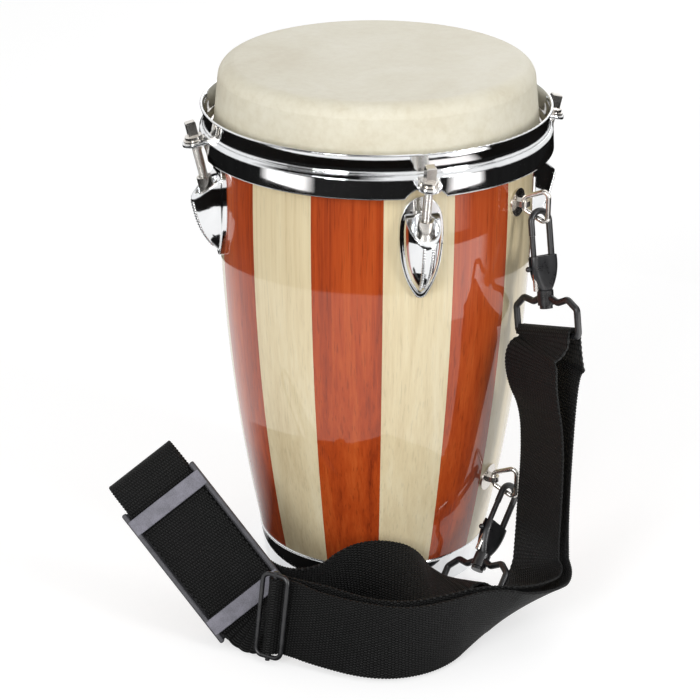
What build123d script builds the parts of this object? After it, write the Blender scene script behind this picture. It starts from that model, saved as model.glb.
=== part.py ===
# Small stave conga with tunable rawhide head, chrome hardware and clip-on shoulder strap.
# Millimetres, +Z up, origin on the floor at the centre of the base, front lug towards -Y.
import os
from math import cos, hypot, radians, sin, sqrt

from build123d import *

os.makedirs("parts", exist_ok=True)

# Shell
stave_count = 14
stave_wall = 11.0
band_height = 22.0
foot_radius = 78.0          # outside of the wood just above the base band
belly_radius = 96.5
belly_height = 137.0
shoulder_radius = 103.2     # outside of the wood under the hoop
shoulder_height = 290.0
crest_rise = 57.1           # bearing edge above the shoulder
crest_height = shoulder_height + crest_rise
edge_round = 9.0
edge_bevel = 4.0
seat_clearance = 0.05       # between pieces that are fixed to each other

# Base band
band_wall = 1.2
band_foot_radius = 76.1
band_bead = 0.7             # rolled bead round the upper edge of the band
band_lip = 7.0              # inward return under the staves
band_roll = 0.8

# Head: skin folded round a wire ring
skin_wall = 1.8
skin_hem_gap = 2.8          # outside of the skin beyond the wood, beside the flesh hoop
skin_hem_radius = shoulder_radius + skin_hem_gap
skin_hem_rise = 13.0
skin_hem_height = shoulder_height + skin_hem_rise
flesh_wire = 2.4            # radius of the flesh hoop's wire
hem_rise = 5.0

# Tension hoop
hoop_wall = 1.8
hoop_room = 9.2             # shoulder of the hoop beyond the skin
hoop_shoulder_radius = skin_hem_radius + hoop_room
hoop_shoulder_rise = 2.6    # above the flesh hoop
hoop_shoulder_height = skin_hem_height + hoop_shoulder_rise
hoop_groove_depth = 2.8
hoop_groove_radius = hoop_shoulder_radius - hoop_groove_depth
hoop_groove_rise = 4.0
hoop_groove_height = hoop_shoulder_height + hoop_groove_rise
hoop_lip_flare = 2.3
hoop_lip_radius = hoop_groove_radius + hoop_lip_flare
hoop_collar = 11.9
hoop_lip_height = hoop_groove_height + hoop_collar
hoop_skirt_flare = 0.7
hoop_skirt_radius = hoop_shoulder_radius + hoop_skirt_flare
hoop_skirt = 12.6
hoop_skirt_height = hoop_shoulder_height - hoop_skirt
arch_width = 27.0
arch_height = 7.0

# Tuning bolts
lug_count = 4
bolt_lean = 13.0            # degrees, heads lean outwards
bolt_stand = 5.7            # bolt beyond the hoop's shoulder, at the top of the ear
bolt_radius = hoop_shoulder_radius + bolt_stand
ear_drop = 2.2
ear_height = hoop_shoulder_height - ear_drop
ear_radius = 8.2
ear_wall = 2.0
rod_diameter = 5.8
rod_length = 45.0
rod_clearance = 0.4
washer_diameter = 14.0
washer_wall = 1.4
flange_diameter = 11.4
flange_wall = 2.2
key_square = 6.3
key_height = 9.5
key_chamfer = 0.6
thread_play = 0.6           # radial room for the rod in its nut
bolt_gap = 0.05

# Lugs
lug_drop = 77.4             # pointed lower end below the ear
lug_foot_height = ear_height - lug_drop
lug_height = 62.0
lug_depth = 20.5            # from the shell to the front
lug_half_width = 13.0
lug_flange = 1.0
lug_flange_wall = 3.0
cup_slope = 42.0            # degrees, the open cup faces up and outwards
cup_radius = 8.6
cup_floor = 36.0            # along the bolt, below the ear
cup_rim = 31.0
nut_diameter = 9.8
nut_length = 18.0
nut_stand = 11.0            # part of the nut that stands in the cup
screw_diameter = 4.8
screw_head_diameter = 9.0
screw_head = 3.2
screw_reach = 4.0           # into the lug
screw_heights = (10.0, 23.0)  # above the lug's lower end
screw_play = 0.2
spot_depth = 1.0            # flat seats sunk in the inside of the shell
spot_play = 0.6

# Strap eyelets and rings
eyelet_angle = -45.0
eyelet_drop = 20.0          # upper eyelet below the shoulder
lower_eyelet_height = 72.0
eyelet_heights = (shoulder_height - eyelet_drop, lower_eyelet_height)
plate_diameter = 18.5
plate_wall = 1.4
stud_diameter = 5.0
stud_nut_width = 8.0
hexagon_corners = 2 / sqrt(3)  # width across corners over width across flats
stud_nut = 4.0
eye_diameter = 7.4
eye_height = 3.6
ring_wire = 3.3
ring_play = 0.3
ring_reach = 17.0
ring_half_height = 11.5
ring_apex_half = 4.2
ring_bend = 3.4

# Snap hooks
hook_wire = 4.2
hook_gap = 10.2             # inside width of the jaw
hook_seat = 11.5            # from the ring's pivot to where the hook hangs
hook_play = 2.0
hook_tip = 8.0
gate_diameter = 3.6
gate_play = 0.08
gate_tip_gap = 0.3
gate_travel = 5.5
gate_foot = 34.0            # lower end of the gate pin below the ring
body_top = 23.0
body_foot = 45.0
body_depth = 8.0
neck_diameter = 9.6
post_diameter = 6.0
post_play = 0.08
collar_diameter = 10.6
collar_height = 9.4
collar_gap = 0.3
rivet_diameter = 8.4
rivet_height = 2.0
spring_wall = 0.5
nub_length = 5.1
hook_upper_axis = (0.02, -0.262, -0.965)
hook_lower_axis = (-0.535, -0.50, -0.68)
hook_face = (0.34, -0.94, 0.0)

# Bails
bail_wire = 4.4
bail_half_width = 28.5
bail_drop = 74.0            # bar below the ring
bail_bend = 3.2
bail_upper_across = (0.401, -0.89, 0.213)
bail_lower_across = (0.24, -0.97, 0.05)

# Strap webbing
strap_width = 50.0
strap_wall = 2.0
strap_steps = 3
fold_play = 1.7

# Slider with three bars
slider_wire = 3.0
slider_half_length = 27.0
slider_half_width = 9.0
slider_bend = 4.5
slider_nub = 2.6
slider_centre = (-105.6, -141.5, 31.0)
slider_along = (-0.72, 0.693, 0.0)
slider_across = (0.171, 0.122, 0.978)
weave = 4.6

# Shoulder pad
pad_length = 104.0
pad_width = 58.0
pad_wall = 2.2
pad_rail = 3.2
pad_rail_height = 7.4
pad_bar = 11.0
pad_bar_wall = 2.4
pad_bar_inset = 6.0
pad_play = 0.45
pad_centre = (-137.2, -94.5, 57.0)
pad_along = (-0.515, 0.454, 0.727)
pad_across = (0.82, 0.029, 0.572)

# Strap route, chosen by eye: middle of the webbing and the direction across it
hang_height = 189.46        # height of the upper bail's bar that the hanging runs are drawn for
hang_foot = 45.0            # above this the runs hang; below it they lie on the floor


def hung(route):
    # The hanging runs keep their share of the height of the upper bail's bar.
    stretch = bar_frames["upper"].origin.Z / hang_height
    return [((x, y, z * stretch if z > hang_foot else z), width) for (x, y, z), width in route]


outer_route = [
    ((-82, -160, 28.5), (0.05, 0.11, 0.99)),
    ((-54, -181, 26.5), (0.08, 0.12, 0.99)),
    ((-28, -190, 26.5), (0.00, 0.00, 1.00)),
    ((-1, -184, 26.5), (-0.02, -0.10, 0.99)),
    ((27, -167, 26), (0.08, -0.35, 0.92)),
    ((58, -154, 20), (0.20, -0.72, 0.66)),
    ((85, -121, 20), (0.26, -0.95, 0.16)),
    ((89, -108, 50), (0.26, -0.97, 0.02)),
    ((89, -107, 82), (0.26, -0.97, 0.00)),
    ((90, -106, 115), (0.26, -0.97, 0.00)),
    ((91, -103, 148), (0.32, -0.94, 0.10)),
    ((93, -101, 170), (0.38, -0.90, 0.20)),
]
inner_route = [
    ((73, -109, 178), (0.40, -0.89, 0.20)),
    ((74, -111, 156), (0.36, -0.92, 0.12)),
    ((82, -110, 132), (0.26, -0.97, 0.00)),
    ((83, -111, 100), (0.24, -0.97, 0.00)),
    ((82, -111, 70), (0.26, -0.97, 0.00)),
    ((81, -112, 46), (0.26, -0.97, 0.02)),
    ((77, -122, 25), (0.26, -0.95, 0.16)),
    ((55, -149, 24), (0.20, -0.72, 0.66)),
    ((23, -163, 27), (0.08, -0.35, 0.92)),
    ((-4, -177, 27), (-0.02, -0.10, 0.99)),
    ((-28, -182, 26.5), (0.00, 0.04, 1.00)),
    ((-52, -174, 26.5), (0.08, 0.12, 0.99)),
    ((-74, -153, 28.5), (0.05, 0.11, 0.99)),
]
return_route = [
    ((-171, -50, 103), (0.82, 0.03, 0.57)),
    ((-157, -62, 84), (0.82, 0.03, 0.57)),
    ((-124, -91, 37.5), (0.77, 0.05, 0.63)),
    ((-96, -97, 27), (0.41, 0.11, 0.90)),
    ((-63, -97, 26), (0.11, 0.02, 0.99)),
    ((-34, -95, 26.5), (-0.01, -0.05, 1.00)),
    ((-12, -100, 26), (-0.14, 0.32, 0.94)),
    ((5, -106, 22), (-0.26, 0.90, 0.35)),
    ((19, -108, 15), (-0.43, 0.90, -0.10)),
]


def circle_through(first, second, third):
    # Centre and radius of the circle through three points of a profile.
    (x1, y1), (x2, y2), (x3, y3) = first, second, third
    a, b = x2 - x1, y2 - y1
    c, d = x3 - x1, y3 - y1
    e = (a * (x1 + x2) + b * (y1 + y2)) / 2
    f = (c * (x1 + x3) + d * (y1 + y3)) / 2
    det = a * d - b * c
    x = (d * e - b * f) / det
    y = (a * f - c * e) / det
    return x, y, hypot(x1 - x, y1 - y)


shell_arc = circle_through(
    (foot_radius, band_height), (belly_radius, belly_height), (shoulder_radius, shoulder_height)
)


def shell_radius(height, inset=0.0):
    x, y, r = shell_arc
    return x + sqrt((r - inset) ** 2 - (height - y) ** 2)


def at(radius, height):
    # A point of a profile, in the XZ plane.
    return Vector(radius, 0, height)


def shell_curve(low, high, inset=0.0):
    middle = (low + high) / 2
    return ThreePointArc(
        at(shell_radius(low, inset), low),
        at(shell_radius(middle, inset), middle),
        at(shell_radius(high, inset), high),
    )


def quarter(centre, radius, start, end):
    # Arc in the XZ plane from one angle to another, degrees from +X.
    points = []
    for angle in (start, (start + end) / 2, end):
        points.append(centre + Vector(radius * cos(radians(angle)), 0, radius * sin(radians(angle))))
    return ThreePointArc(*points)


def chain(*pieces):
    # Closed face from edges and points in order: neighbours are joined by straight lines.
    edges = []
    ends = []
    for piece in pieces:
        if isinstance(piece, Vector):
            ends.append((piece, piece))
        else:
            ends.append((piece @ 0, piece @ 1))
            edges.append(piece)
    for (_, end), (start, _) in zip(ends, ends[1:] + ends[:1]):
        if (start - end).length > 1e-6:
            edges.append(Line(end, start))
    return make_face(edges)


def turned(face, arc=360):
    return revolve(face, Axis.Z, arc)


def spun(part, angle):
    return part.rotate(Axis.Z, angle)


def rod_between(start, end, diameter):
    start, end = Vector(*start), Vector(*end)
    plane = Plane(origin=start, z_dir=end - start)
    return plane * Cylinder(
        diameter / 2, (end - start).length, align=(Align.CENTER, Align.CENTER, Align.MIN)
    )


def wire_along(path, diameter):
    section = Plane(origin=path @ 0, z_dir=path % 0) * Circle(diameter / 2)
    return sweep(section, path=path)


def save(part, name):
    export_step(part, f"parts/{name}.step")


# Shell of staves, open below
band_top_radius = foot_radius + band_bead
band_top_inside = band_top_radius - band_wall
band_foot_inside = band_foot_radius - band_wall
edge_start = crest_height - edge_round
edge_centre = at(shell_radius(edge_start) - edge_round, edge_start)
stave_face = chain(
    at(shell_radius(band_wall, stave_wall), band_wall),
    at(band_foot_inside - seat_clearance, band_wall),
    at(band_top_inside - seat_clearance, band_height + seat_clearance),
    shell_curve(band_height + seat_clearance, edge_start),
    quarter(edge_centre, edge_round, 0, 90),
    shell_curve(crest_height - edge_bevel, band_wall, stave_wall),
)
stave_angle = 360 / stave_count
stave = spun(turned(stave_face, stave_angle), -90 - stave_angle / 2)
staves = [spun(stave, stave_angle * index) for index in range(stave_count)]



def shell_body(grow):
    # Solid of revolution that stands a little outside the staves.
    return turned(chain(at(0, 0), shell_curve(0, crest_height, -grow), at(0, crest_height)))


shell_solid = shell_body(seat_clearance)
plate_layer = shell_body(seat_clearance + plate_wall)

base_band = turned(
    chain(
        at(band_foot_inside - band_lip, 0),
        at(band_foot_radius - band_roll, 0),
        quarter(at(band_foot_radius - band_roll, band_roll), band_roll, -90, 0),
        at(band_top_radius - band_bead, band_height - 3 * band_bead),
        quarter(at(band_top_radius - band_bead, band_height - band_bead), band_bead, -60, 90),
        at(band_top_inside, band_height),
        at(band_foot_inside, band_wall),
        at(band_foot_inside - band_lip, band_wall),
    )
)
save(base_band, "base_band")

# Head: skin stretched over the bearing edge, folded under the flesh hoop and up again
skin_inside = skin_wall + seat_clearance
flesh_radius = skin_hem_radius + seat_clearance + flesh_wire
flesh_centre = at(flesh_radius, skin_hem_height)
fold_inside = flesh_wire + seat_clearance
fold_outside = fold_inside + skin_wall
skin = turned(
    chain(
        at(0, crest_height + skin_inside),
        quarter(edge_centre, edge_round + skin_inside, 90, 10),
        at(skin_hem_radius, hoop_groove_height),
        quarter(flesh_centre, fold_inside, 180, 360),
        at(flesh_radius + fold_inside, skin_hem_height + hem_rise),
        at(flesh_radius + fold_outside, skin_hem_height + hem_rise),
        quarter(flesh_centre, fold_outside, 360, 180),
        at(skin_hem_radius - skin_wall, hoop_groove_height),
        quarter(edge_centre, edge_round + seat_clearance, 10, 90),
        at(0, crest_height + seat_clearance),
    )
)
save(skin, "drum_skin")

flesh_hoop = turned(Plane(origin=flesh_centre, z_dir=(0, 1, 0)) * Circle(flesh_wire))
save(flesh_hoop, "flesh_hoop")

# Tension hoop: flared collar, groove, rounded shoulder and skirt in one wall
collar_middle = (hoop_groove_height + hoop_lip_height) / 2
collar_hollow = 0.5
collar_outside = ThreePointArc(
    at(hoop_lip_radius, hoop_lip_height - hoop_wall / 2),
    at((hoop_lip_radius + hoop_groove_radius) / 2 - collar_hollow, collar_middle),
    at(hoop_groove_radius, hoop_groove_height),
)
collar_inside = ThreePointArc(
    at(hoop_groove_radius - hoop_wall, hoop_groove_height),
    at((hoop_lip_radius + hoop_groove_radius) / 2 - collar_hollow - hoop_wall, collar_middle),
    at(hoop_lip_radius - hoop_wall, hoop_lip_height - hoop_wall / 2),
)
lip_centre = at(hoop_lip_radius - hoop_wall / 2, hoop_lip_height - hoop_wall / 2)
lip_round = quarter(lip_centre, hoop_wall / 2, 180, 0)
ledge_height = skin_hem_height + hem_rise + seat_clearance
hoop_face = chain(
    lip_round,
    collar_outside,
    at(hoop_shoulder_radius, hoop_shoulder_height),
    at(hoop_skirt_radius, hoop_skirt_height),
    at(hoop_skirt_radius - hoop_wall, hoop_skirt_height),
    at(hoop_shoulder_radius - hoop_wall, hoop_shoulder_height),
    at(hoop_shoulder_radius - hoop_wall, ledge_height),
    at(hoop_groove_radius - hoop_wall, ledge_height),
    collar_inside,
)
hoop_inside = turned(
    chain(
        at(0, hoop_skirt_height - hoop_wall),
        at(hoop_skirt_radius - hoop_wall, hoop_skirt_height - hoop_wall),
        at(hoop_skirt_radius - hoop_wall, hoop_skirt_height),
        at(hoop_shoulder_radius - hoop_wall, hoop_shoulder_height),
        at(hoop_shoulder_radius - hoop_wall, ledge_height),
        at(hoop_groove_radius - hoop_wall, ledge_height),
        at(hoop_groove_radius - hoop_wall, hoop_groove_height),
        at(0, hoop_groove_height),
    )
)

# Bolt frame for the lug at +X: origin on the ear, Z up the bolt, Y inwards
bolt_frame = Plane(
    origin=at(bolt_radius, ear_height),
    x_dir=(0, 1, 0),
    z_dir=(sin(radians(bolt_lean)), 0, cos(radians(bolt_lean))),
)


def down_bolt(diameter, top, bottom):
    # Cylinder on the bolt's axis between two levels.
    return (
        bolt_frame
        * Pos(0, 0, bottom)
        * Cylinder(diameter / 2, top - bottom, align=(Align.CENTER, Align.CENTER, Align.MIN))
    )


ear_sketch = Circle(ear_radius) + Pos(0, ear_radius / 2) * Rectangle(2 * ear_radius, ear_radius)
ear = bolt_frame * extrude(ear_sketch, -ear_wall)
ear = ear - hoop_inside - down_bolt(rod_diameter + 2 * rod_clearance, ear_wall, -2 * ear_wall)
arch_radius = (arch_width**2 / 4 + arch_height**2) / (2 * arch_height)
arch_depth = 4 * hoop_wall
arch = Pos(hoop_skirt_radius, 0, hoop_skirt_height + arch_height - arch_radius) * Rot(0, 90, 0) * Cylinder(
    arch_radius, arch_depth
)
lug_names = ["right", "rear", "left", "front"]
lug_angles = [360 / lug_count * index for index in range(lug_count)]
hoop = turned(hoop_face)
washer_seat = down_bolt(washer_diameter + 2 * rod_clearance, rod_length / 2, 0)
for angle in lug_angles:
    hoop = hoop - spun(arch, angle) - spun(washer_seat, angle)
for angle in lug_angles:
    hoop = hoop + spun(ear, angle)
save(hoop, "tension_hoop")

# Tuning bolts and washers
washer = down_bolt(washer_diameter, washer_wall, 0) - down_bolt(
    rod_diameter + 2 * rod_clearance, washer_wall, 0
)
save(Compound([spun(washer, angle) for angle in lug_angles]), "bolt_washers")
flange_foot = washer_wall + bolt_gap
key_foot = flange_foot + flange_wall
key = Box(key_square, key_square, key_height, align=(Align.CENTER, Align.CENTER, Align.MIN))
key = bolt_frame * Pos(0, 0, key_foot) * chamfer(key.edges().group_by(Axis.Z)[-1], key_chamfer)
bolt = down_bolt(flange_diameter, key_foot, flange_foot) + key
bolt = bolt + down_bolt(rod_diameter, flange_foot, -rod_length)
for name, angle in zip(lug_names, lug_angles):
    save(spun(bolt, angle), f"tuning_bolt_{name}")

# Lugs: almond casing with an open cup, screwed on from inside the shell
lug_stations = [
    (0.00, 0.20, 0.12),
    (0.14, 0.58, 0.50),
    (0.34, 0.88, 0.80),
    (0.56, 1.00, 0.97),
    (0.74, 1.00, 1.00),
    (0.90, 0.84, 0.80),
    (1.00, 0.52, 0.45),
]
lug_back = shell_radius(lug_foot_height) - 4.0


def lug_section(share, width_share, depth_share):
    height = lug_foot_height + share * lug_height
    half = lug_half_width * width_share
    front = shell_radius(height) + lug_depth * depth_share
    plane = Plane(origin=at(lug_back, height), x_dir=(0, 1, 0), z_dir=(0, 0, 1))
    outline = EllipticalCenterArc((0, 0), half, front - lug_back, start_angle=180, arc_size=180)
    return plane * make_face([outline, Line((-half, 0), (half, 0))])


casing = loft([lug_section(*station) for station in lug_stations])
nut_top = nut_stand - cup_floor
nut_foot = nut_top - nut_length
rim_plane = Plane(
    origin=bolt_frame.from_local_coords(Vector(0, 0, -cup_rim)),
    x_dir=(0, 1, 0),
    z_dir=(sin(radians(cup_slope)), 0, cos(radians(cup_slope))),
)
above_rim = rim_plane * Box(
    4 * lug_half_width, 6 * lug_depth, lug_height, align=(Align.CENTER, Align.CENTER, Align.MIN)
)
casing = casing - above_rim
flange_points = [(half * lug_half_width + lug_flange, share * lug_height) for share, half, _ in lug_stations]
flange_side = [(y, z + lug_foot_height) for y, z in flange_points]
flange_edge = Spline([Vector(0, y, z) for y, z in flange_side])
flange_top = ThreePointArc(
    Vector(0, *flange_side[-1]),
    Vector(0, 0, lug_foot_height + lug_height + 3 * lug_flange),
    Vector(0, -flange_side[-1][0], flange_side[-1][1]),
)
flange_foot_arc = ThreePointArc(
    Vector(0, -flange_side[0][0], flange_side[0][1]),
    Vector(0, 0, lug_foot_height - 2 * lug_flange),
    Vector(0, *flange_side[0]),
)
flange_face = make_face([flange_edge, flange_top, flange_edge.mirror(Plane.XZ), flange_foot_arc])
flange = Pos(lug_back, 0, 0) * extrude(
    flange_face, shell_radius(lug_foot_height + lug_height / 2) + lug_flange_wall - lug_back, dir=(1, 0, 0)
)
lug = casing + flange - shell_solid
lug = lug - down_bolt(2 * cup_radius, lug_height, -cup_floor)
lug = lug - down_bolt(nut_diameter + 2 * seat_clearance, lug_height, nut_foot - seat_clearance)
lug = lug - down_bolt(rod_diameter + 2 * thread_play, nut_foot, -rod_length - 2 * rod_clearance)

screws = []
screw_holes = []
for rise in screw_heights:
    height = lug_foot_height + rise
    inside = shell_radius(height, stave_wall) + spot_depth
    tip = shell_radius(height) + screw_reach
    shaft = rod_between((inside - 1, 0, height), (tip, 0, height), screw_diameter)
    seat = inside - 2 * seat_clearance
    head = rod_between((seat - screw_head, 0, height), (seat, 0, height), screw_head_diameter)
    screws.append(shaft + head)
    lug = lug - rod_between(
        (lug_back, 0, height), (tip + screw_play, 0, height), screw_diameter + 2 * seat_clearance
    )
    hole = rod_between((inside - 1, 0, height), (tip, 0, height), screw_diameter + 2 * screw_play)
    spot = rod_between(
        (inside - 4 * spot_depth, 0, height),
        (inside - seat_clearance, 0, height),
        screw_head_diameter + 2 * spot_play,
    )
    screw_holes.append(hole + spot)
save(
    Compound([spun(screw, angle) for angle in lug_angles for screw in screws]),
    "lug_screws",
)
nut = down_bolt(nut_diameter, nut_top, nut_foot)
nut = nut - down_bolt(rod_diameter + 2 * thread_play, nut_top, nut_foot)
for name, angle in zip(lug_names, lug_angles):
    save(spun(lug, angle), f"lug_{name}")
    save(spun(nut, angle), f"lug_nut_{name}")

# Strap eyelets with wire rings, on the +X side before they are turned to their place
places = ["upper", "lower"]
eyelet_nuts = []
stud_holes = []
ring_pivots = {}
for place, height in zip(places, eyelet_heights):
    wall = shell_radius(height)
    pivot = wall + plate_wall + eye_diameter / 2
    inside = shell_radius(height, stave_wall) + spot_depth - 2 * seat_clearance
    plate = rod_between((wall - 2 * plate_wall, 0, height), (pivot, 0, height), plate_diameter) & plate_layer
    stud = rod_between((inside - 2 * stud_nut, 0, height), (wall + plate_wall, 0, height), stud_diameter)
    eye = Pos(pivot, 0, height) * Cylinder(eye_diameter / 2, eye_height)
    neck = Pos((pivot + wall) / 2, 0, height) * Box(pivot - wall, eye_diameter, eye_height)
    eyelet = (plate + neck) - shell_solid + stud + eye
    eyelet = eyelet - Pos(pivot, 0, height) * Cylinder(ring_wire / 2 + ring_play, 2 * eye_height)
    save(spun(eyelet, eyelet_angle), f"strap_eyelet_{place}")
    hexagon = Plane(origin=(inside - stud_nut, 0, height), z_dir=(1, 0, 0)) * RegularPolygon(
        stud_nut_width / 2, 6, major_radius=False
    )
    stud_nut_part = extrude(hexagon, stud_nut) - rod_between(
        (inside - 2 * stud_nut, 0, height), (wall, 0, height), stud_diameter + 2 * seat_clearance
    )
    eyelet_nuts.append(spun(stud_nut_part, eyelet_angle))
    hole = rod_between((inside - 1, 0, height), (wall + 1, 0, height), stud_diameter + 2 * screw_play)
    spot = rod_between(
        (inside - 4 * spot_depth, 0, height),
        (inside + seat_clearance, 0, height),
        hexagon_corners * stud_nut_width + 2 * spot_play,
    )
    stud_holes.append(spun(hole + spot, eyelet_angle))
    ring_path = FilletPolyline(
        (pivot, 0, height + ring_apex_half),
        (pivot + ring_reach, 0, height + ring_half_height),
        (pivot + ring_reach, 0, height - ring_half_height),
        (pivot, 0, height - ring_apex_half),
        radius=ring_bend,
        close=True,
    )
    save(spun(wire_along(ring_path, ring_wire), eyelet_angle), f"strap_ring_{place}")
    ring_pivots[place] = (pivot, height)
save(Compound(eyelet_nuts), "eyelet_nuts")

lug_holes = [spun(hole, angle) for angle in lug_angles for hole in screw_holes]
for index, piece in enumerate(staves):
    for hole in lug_holes + stud_holes:
        piece = piece - hole
    save(piece, f"stave_{index + 1:02d}")


# Snap hooks: in each hook's frame the ring's wire is the origin, Z points up the hook, X across the jaw
def hook_frame(place, axis):
    pivot, height = ring_pivots[place]
    slope = (ring_half_height - ring_apex_half) / ring_reach
    seat = Vector(pivot + hook_seat, 0, height - ring_apex_half - slope * hook_seat)
    seat = seat.rotate(Axis.Z, eyelet_angle)
    up = -Vector(*axis)
    up = up.normalized()
    face = Vector(*hook_face)
    face = (face - up * face.dot(up)).normalized()
    return Plane(origin=seat, x_dir=up.cross(face), z_dir=up)


jaw_half = (hook_gap + hook_wire) / 2
jaw_centre = ring_wire / 2 + hook_play - hook_gap / 2
gate_head = jaw_centre - hook_tip - gate_tip_gap
spring_foot = -gate_foot - 2 * gate_travel


def upright(radius, low, high, x=0.0):
    return Pos(x, 0, low) * Cylinder(radius, high - low, align=(Align.CENTER, Align.CENTER, Align.MIN))


def make_hook_body():
    arm = wire_along(
        Line((jaw_half, 0, -body_top - 4), (jaw_half, 0, jaw_centre))
        + ThreePointArc((jaw_half, 0, jaw_centre), (0, 0, jaw_centre + jaw_half), (-jaw_half, 0, jaw_centre))
        + Line((-jaw_half, 0, jaw_centre), (-jaw_half, 0, jaw_centre - hook_tip)),
        hook_wire,
    )
    wide = jaw_half + hook_wire / 2 + gate_diameter / 4
    top = Pos(0, 0, -body_top) * RectangleRounded(2 * wide, body_depth, body_depth / 2.2)
    middle = Pos(0, 0, -(body_top + body_foot) / 2) * RectangleRounded(
        1.9 * wide, body_depth, body_depth / 2.2
    )
    foot = Pos(0, 0, -body_foot) * RectangleRounded(neck_diameter, body_depth, body_depth / 2.2)
    body = loft([foot, middle, top]) + arm
    post_foot = -body_foot - collar_height - 2 * collar_gap - rivet_height
    body = body + upright(post_diameter / 2, post_foot, -body_foot)
    rivet_top = -body_foot - collar_height - 2 * collar_gap
    body = body + upright(rivet_diameter / 2, rivet_top - rivet_height, rivet_top)
    body = body - upright(gate_diameter / 2 + gate_play, spring_foot, 0 - body_top + 1, -jaw_half)
    slot_top = -body_top + 1
    slot_foot = -gate_foot - gate_travel - 1
    slot = Pos(-jaw_half - wide / 2, 0, (slot_top + slot_foot) / 2) * Box(
        wide, gate_diameter / 2 + 4 * gate_play, slot_top - slot_foot
    )
    return body - slot


def make_hook_gate():
    pin = upright(gate_diameter / 2, -gate_foot, gate_head, -jaw_half)
    stem = Pos(-jaw_half, 0, -gate_foot + gate_diameter) * Rot(0, -90, 0) * Cylinder(
        gate_diameter / 4, nub_length, align=(Align.CENTER, Align.CENTER, Align.MIN)
    )
    knob = Pos(-jaw_half - nub_length, 0, -gate_foot + gate_diameter) * Sphere(gate_diameter / 2)
    return pin + stem + knob


def make_hook_spring():
    tube = upright(gate_diameter / 2 - gate_play, spring_foot, -gate_foot, -jaw_half)
    return tube - upright(gate_diameter / 2 - gate_play - spring_wall, spring_foot, -gate_foot, -jaw_half)


def make_bail(frame, across):
    # Collar round the hook's post and a wire loop whose bar carries the webbing.
    side = frame.to_local_coords(frame.origin + Vector(*across))
    side = Vector(side.X, side.Y, 0).normalized()
    loop = Plane(origin=(0, 0, 0), x_dir=side, z_dir=side.cross(Vector(0, 0, 1)))
    middle = body_foot + collar_gap + collar_height / 2
    half = [
        (collar_diameter / 2 - 1, -middle),
        (0.40 * bail_half_width, -middle - 3.0),
        (0.72 * bail_half_width, -middle - 0.5),
        (bail_half_width, -middle - 6.5),
        (bail_half_width, -bail_drop),
    ]
    points = half + [(-x, z) for x, z in reversed(half)]
    path = FilletPolyline(*points, radius=bail_bend)
    wire = wire_along(path, bail_wire)
    wire = loop * wire
    collar_top = -body_foot - collar_gap
    collar = upright(collar_diameter / 2, collar_top - collar_height, collar_top)
    bail = collar + wire
    return bail - upright(post_diameter / 2 + post_play, collar_top - 2 * collar_height, collar_top + 1), side


hook_frames = {}
bar_frames = {}
for place, axis, across in zip(
    places, (hook_upper_axis, hook_lower_axis), (bail_upper_across, bail_lower_across)
):
    frame = hook_frame(place, axis)
    hook_frames[place] = frame
    bail, side = make_bail(frame, across)
    save(frame * make_hook_body(), f"hook_body_{place}")
    save(frame * make_hook_gate(), f"hook_gate_{place}")
    save(frame * make_hook_spring(), f"hook_spring_{place}")
    save(frame * bail, f"hook_bail_{place}")
    centre = frame.from_local_coords(Vector(0, 0, -bail_drop))
    width = (frame.from_local_coords(side) - frame.origin).normalized()
    bar_frames[place] = Plane(origin=centre, x_dir=width, z_dir=frame.z_dir)


# Webbing: flat ribbons along quadratic splines
def spline_stations(route):
    # Points and directions along the clamped uniform quadratic spline of the route's control points.
    points = [Vector(*point) for point, _ in route]
    widths = [Vector(*width).normalized() for _, width in route]

    def spans(values):
        joints = [(a + b) / 2 for a, b in zip(values[1:-2], values[2:-1])]
        starts = [values[0]] + joints
        ends = joints + [values[-1]]
        return list(zip(starts, values[1:-1], ends))

    stations = []
    pairs = list(zip(spans(points), spans(widths)))
    for index, (span, width_span) in enumerate(pairs):
        steps = strap_steps + 1 if index == len(pairs) - 1 else strap_steps
        for step in range(steps):
            t = step / strap_steps
            a, b, c = (1 - t) ** 2, 2 * t * (1 - t), t**2
            point = span[0] * a + span[1] * b + span[2] * c
            width = width_span[0] * a + width_span[1] * b + width_span[2] * c
            tangent = (span[1] - span[0]) * (1 - t) + (span[2] - span[1]) * t
            stations.append((point, tangent.normalized(), width))
    return stations


def webbing(name, route):
    # Ribbon of rectangular section: four ruled faces between stations, closed at both ends.
    corners = []
    stations = spline_stations(route)
    for point, tangent, width in stations:
        across = (width - tangent * width.dot(tangent)).normalized()
        half = across * (strap_width / 2)
        up = tangent.cross(across) * (strap_wall / 2)
        corners.append([point + half + up, point - half + up, point - half - up, point + half - up])
    faces = [Face(Wire.make_polygon(end, close=True)) for end in (corners[0], corners[-1])]
    for here, there in zip(corners, corners[1:]):
        for side in range(4):
            other = (side + 1) % 4
            edge = Edge.make_line(here[side], here[other])
            next_edge = Edge.make_line(there[side], there[other])
            faces.append(Face.make_surface_from_curves(edge, next_edge))
    ribbon = Solid(Shell(faces))
    length = sum((b[0] - a[0]).length for a, b in zip(stations, stations[1:]))
    print(f"{name}: length {length:.1f}, volume over section times length", end=" ")
    print(f"{ribbon.volume / (strap_width * strap_wall * length):.3f}, valid {ribbon.is_valid}")
    save(ribbon, name)


def local_points(frame, offsets, width):
    # Control points given in a frame's Y and Z, all with one width direction.
    return [(tuple(frame.from_local_coords(Vector(0, y, z))), tuple(width)) for y, z in offsets]


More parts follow.
